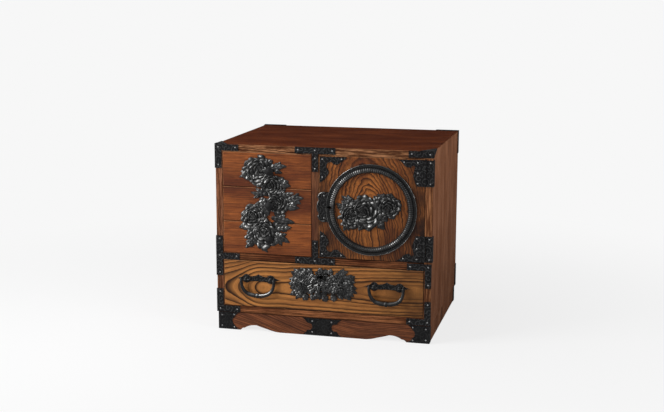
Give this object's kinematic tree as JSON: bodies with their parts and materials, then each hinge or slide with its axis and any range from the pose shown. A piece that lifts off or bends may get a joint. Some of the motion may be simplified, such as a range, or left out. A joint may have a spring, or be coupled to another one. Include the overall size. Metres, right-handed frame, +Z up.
{
  "type": "small tansu chest",
  "caption": "Small lacquered wooden chest on a plinth, with stacked drawers, a hinged door with a ring, a wide drawer and black iron fittings.",
  "frame": {"origin": "on the floor, under the middle of the whole chest with its knobs and rear irons included", "axes": "+Z up, -Y out of the front, +X to the right as seen from the front"},
  "size_m": [0.4574, 0.372, 0.3962],
  "materials": {
    "case_wood": "satin red-brown lacquer over open grain",
    "small_drawer_wood": "satin red-brown lacquer",
    "wide_drawer_wood": "satin golden-brown lacquer with dark bold grain",
    "door_wood": "satin golden-brown lacquer over figured grain",
    "inner_wood": "plain planed wood",
    "black_iron": "blue-black, satin",
    "nail_iron": "rubbed grey heads",
    "lock_steel": "plain"
  },
  "bodies": {
    "case": {"top_panel": "case_wood", "bottom_panel": "case_wood", "left_side_panel": "case_wood", "right_side_panel": "case_wood", "back_panel": "inner_wood", "centre_divider": "case_wood", "middle_shelf": "case_wood", "door_stop": "inner_wood", "plinth_front": "case_wood", "plinth_back": "case_wood", "plinth_sides": "case_wood", "drawer_runners": "inner_wood", "iron_top_left": "black_iron", "iron_top_centre": "black_iron", "iron_top_right": "black_iron", "iron_middle_left": "black_iron", "iron_centre": "black_iron", "iron_middle_right": "black_iron", "iron_bottom_left": "black_iron", "iron_bottom_right": "black_iron", "plinth_corner_irons": "black_iron", "plinth_centre_iron": "black_iron", "rear_irons": "black_iron", "case_nails": "nail_iron", "case_hinge_leaves": "black_iron", "hinge_pins": "lock_steel"},
    "door": {"door_panel": "door_wood", "door_ring": "black_iron", "door_lock_plate": "black_iron", "door_peony": "black_iron", "door_corner_irons": "black_iron", "door_hinge_leaves": "black_iron", "door_lock_case": "lock_steel", "door_nails": "nail_iron"},
    "door_bolt": {"door_bolt": "lock_steel"},
    "small_drawer_1": {"small_drawer_1_front": "small_drawer_wood", "small_drawer_1_walls": "inner_wood", "small_drawer_1_bottom": "inner_wood", "small_drawer_1_peony": "black_iron", "small_drawer_1_knob": "black_iron"},
    "small_drawer_2": {"small_drawer_2_front": "small_drawer_wood", "small_drawer_2_walls": "inner_wood", "small_drawer_2_bottom": "inner_wood", "small_drawer_2_peony": "black_iron", "small_drawer_2_knob": "black_iron"},
    "small_drawer_3": {"small_drawer_3_front": "small_drawer_wood", "small_drawer_3_walls": "inner_wood", "small_drawer_3_bottom": "inner_wood", "small_drawer_3_peony": "black_iron", "small_drawer_3_knob": "black_iron"},
    "wide_drawer": {"wide_drawer_front": "wide_drawer_wood", "wide_drawer_walls": "inner_wood", "wide_drawer_bottom": "inner_wood", "wide_drawer_peony": "black_iron", "drawer_lock_case": "lock_steel", "handle_plates": "black_iron", "handle_studs": "black_iron"},
    "drawer_bolt": {"drawer_bolt": "lock_steel"},
    "left_bail": {"left_bail": "black_iron"},
    "right_bail": {"right_bail": "black_iron"}
  },
  "joints": [
    {"name": "door_hinge", "type": "hinge", "parent": "case", "child": "door", "pos_m": [0.2121, -0.1704, 0.2735], "axis": [0, 0, 1], "range_deg": [0, 115]},
    {"name": "door_bolt_slide", "type": "slide", "parent": "door", "child": "door_bolt", "axis": [-1, 0, 0], "range_m": [0, 0.006]},
    {"name": "small_drawer_1_slide", "type": "slide", "parent": "case", "child": "small_drawer_1", "axis": [0, -1, 0], "range_m": [0, 0.24]},
    {"name": "small_drawer_2_slide", "type": "slide", "parent": "case", "child": "small_drawer_2", "axis": [0, -1, 0], "range_m": [0, 0.24]},
    {"name": "small_drawer_3_slide", "type": "slide", "parent": "case", "child": "small_drawer_3", "axis": [0, -1, 0], "range_m": [0, 0.24]},
    {"name": "wide_drawer_slide", "type": "slide", "parent": "case", "child": "wide_drawer", "axis": [0, -1, 0], "range_m": [0, 0.25]},
    {"name": "drawer_bolt_slide", "type": "slide", "parent": "wide_drawer", "child": "drawer_bolt", "axis": [0, 0, 1], "range_m": [0, 0.006]},
    {"name": "left_bail_swing", "type": "hinge", "parent": "wide_drawer", "child": "left_bail", "pos_m": [-0.1365, -0.176, 0.1125], "axis": [-1, 0, 0], "range_deg": [0, 100]},
    {"name": "right_bail_swing", "type": "hinge", "parent": "wide_drawer", "child": "right_bail", "pos_m": [0.1365, -0.176, 0.1125], "axis": [-1, 0, 0], "range_deg": [0, 100]}
  ]
}
